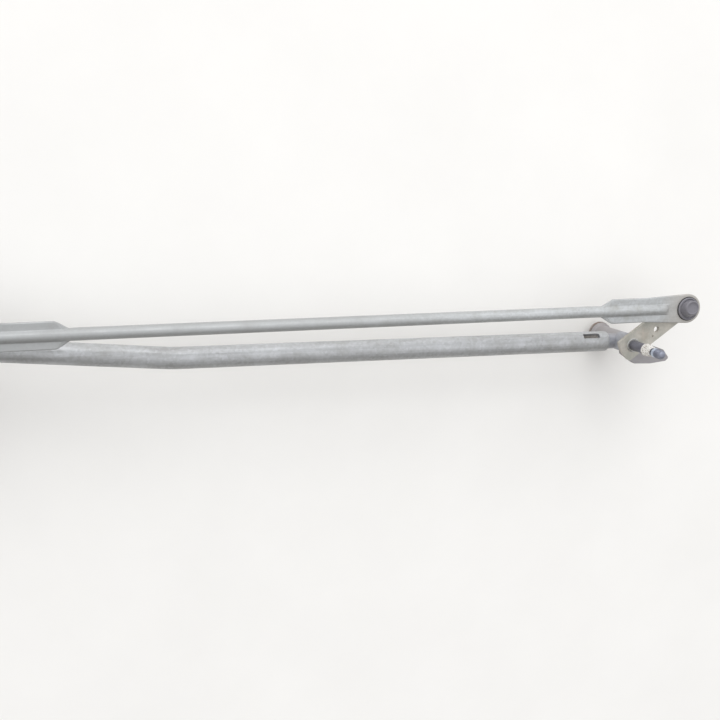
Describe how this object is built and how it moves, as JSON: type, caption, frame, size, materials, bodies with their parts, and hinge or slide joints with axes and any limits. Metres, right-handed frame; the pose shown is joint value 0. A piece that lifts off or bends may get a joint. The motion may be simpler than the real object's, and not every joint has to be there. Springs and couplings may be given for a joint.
{
  "type": "windshield wiper motor",
  "caption": "Windshield wiper motor with its tubular carrier: a worm-geared electric motor drives a crank, ball-jointed links and levers that swing the wiper spindles",
  "frame": {"origin": "centre of the middle mounting bush, in the plane of the carrier tube's axis", "axes": "+X along the long carrier tube from the motor end to the right spindle, +Z along the spindles towards the wiper arms, +Y away from the middle mounting bush towards the links"},
  "size_m": [0.9677, 0.197, 0.1255],
  "materials": {
    "galvanised_steel": "galvanised sheet and tube, light grey with a soft sheen",
    "zinc_plated_steel": "zinc plated, faint olive tint",
    "cast_aluminium": "as die-cast, matt grey with a bluish cast",
    "dark_steel": "dark phosphated steel",
    "bright_steel": "bright zinc plated",
    "grey_plastic": "moulded dark grey plastic",
    "black_rubber": "matt black rubber",
    "black_plastic": "glass-filled black plastic",
    "natural_plastic": "natural acetal",
    "bronze": "sintered bronze",
    "copper": "copper",
    "lamination_steel": "stacked electrical steel sheet",
    "painted_can": "satin black coated steel",
    "ferrite": "sintered ferrite and carbon, dull dark grey"
  },
  "bodies": {
    "frame": {"carrier_tube": "galvanised_steel", "spacer_tube": "galvanised_steel", "right_pivot_housing": "cast_aluminium", "left_pivot_housing": "cast_aluminium", "motor_bracket": "cast_aluminium", "right_spindle_bushes": "bronze", "left_spindle_bushes": "bronze", "mounting_grommets": "black_rubber", "mounting_sleeves": "zinc_plated_steel", "bracket_screws": "bright_steel", "gear_housing": "cast_aluminium", "gear_cover": "black_plastic", "output_shaft_bushes": "bronze", "shaft_seal_cap": "black_plastic", "cover_screws": "bright_steel", "plug_terminals": "copper", "park_contacts": "copper", "worm_tail_bush": "bronze", "front_bearing": "bronze", "motor_can": "painted_can", "field_magnets": "ferrite", "brush_holder": "black_plastic", "carbon_brushes": "ferrite", "can_screws": "bright_steel", "rear_bearing": "bronze"},
    "right_rocker": {"right_spindle": "dark_steel", "right_lever": "zinc_plated_steel", "right_ball_stud": "bright_steel", "right_thrust_washer": "zinc_plated_steel", "right_lower_washer": "zinc_plated_steel", "right_retaining_clip": "dark_steel"},
    "left_rocker": {"left_spindle": "dark_steel", "left_lever": "zinc_plated_steel", "left_ball_stud": "bright_steel", "left_thrust_washer": "zinc_plated_steel", "left_lower_washer": "zinc_plated_steel", "left_retaining_clip": "dark_steel"},
    "long_link": {"coupling_link": "galvanised_steel", "coupling_link_right_socket": "grey_plastic", "coupling_link_left_socket": "grey_plastic"},
    "short_link": {"drive_link": "galvanised_steel", "drive_link_lever_socket": "grey_plastic", "drive_link_crank_socket": "grey_plastic"},
    "crank": {"output_shaft": "dark_steel", "worm_wheel": "natural_plastic", "park_contact_disc": "copper", "motor_crank": "zinc_plated_steel", "crank_washer": "zinc_plated_steel", "crank_nut": "bright_steel", "crank_ball_stud": "bright_steel", "crank_ball_boot": "black_rubber"},
    "armature": {"armature_shaft": "dark_steel", "worm": "dark_steel", "armature_core": "lamination_steel", "armature_windings": "copper", "commutator": "copper"}
  },
  "joints": [
    {"name": "armature_spin", "type": "hinge", "parent": "frame", "child": "armature", "pos_m": [-0.15351, 0.14101, -0.02], "axis": [1, 0, 0], "range_deg": [0, 10080]},
    {"name": "crank_turn", "type": "hinge", "parent": "frame", "child": "crank", "pos_m": [-0.15351, 0.10801, 0.03], "axis": [0, 0, 1], "range_deg": [0, 180]},
    {"name": "left_lever_swing", "type": "hinge", "parent": "frame", "child": "left_rocker", "pos_m": [0, 0.046, 0.022], "axis": [0, 0, 1], "range_deg": [0, 95]},
    {"name": "right_lever_swing", "type": "hinge", "parent": "frame", "child": "right_rocker", "pos_m": [0.67596, 0.05308, 0.022], "axis": [0, 0, 1], "range_deg": [0, 95]},
    {"name": "coupling_link_turn", "type": "hinge", "parent": "left_rocker", "child": "long_link", "pos_m": [0.05135, 0.08249, 0.034], "axis": [0, 0, 1], "range_deg": [-95, 0]},
    {"name": "drive_link_turn", "type": "hinge", "parent": "left_rocker", "child": "short_link", "pos_m": [0.05135, 0.08249, 0.05], "axis": [0, 0, 1], "range_deg": [-95, 0]}
  ],
  "couplings": [
    {"joint": "crank_turn", "follows": "armature_spin", "ratio": 0.017857},
    {"joint": "left_lever_swing", "follows": "armature_spin", "ratio": 0.0094246},
    {"joint": "right_lever_swing", "follows": "armature_spin", "ratio": 0.0094246},
    {"joint": "coupling_link_turn", "follows": "armature_spin", "ratio": -0.0094246},
    {"joint": "drive_link_turn", "follows": "armature_spin", "ratio": -0.0094246}
  ]
}
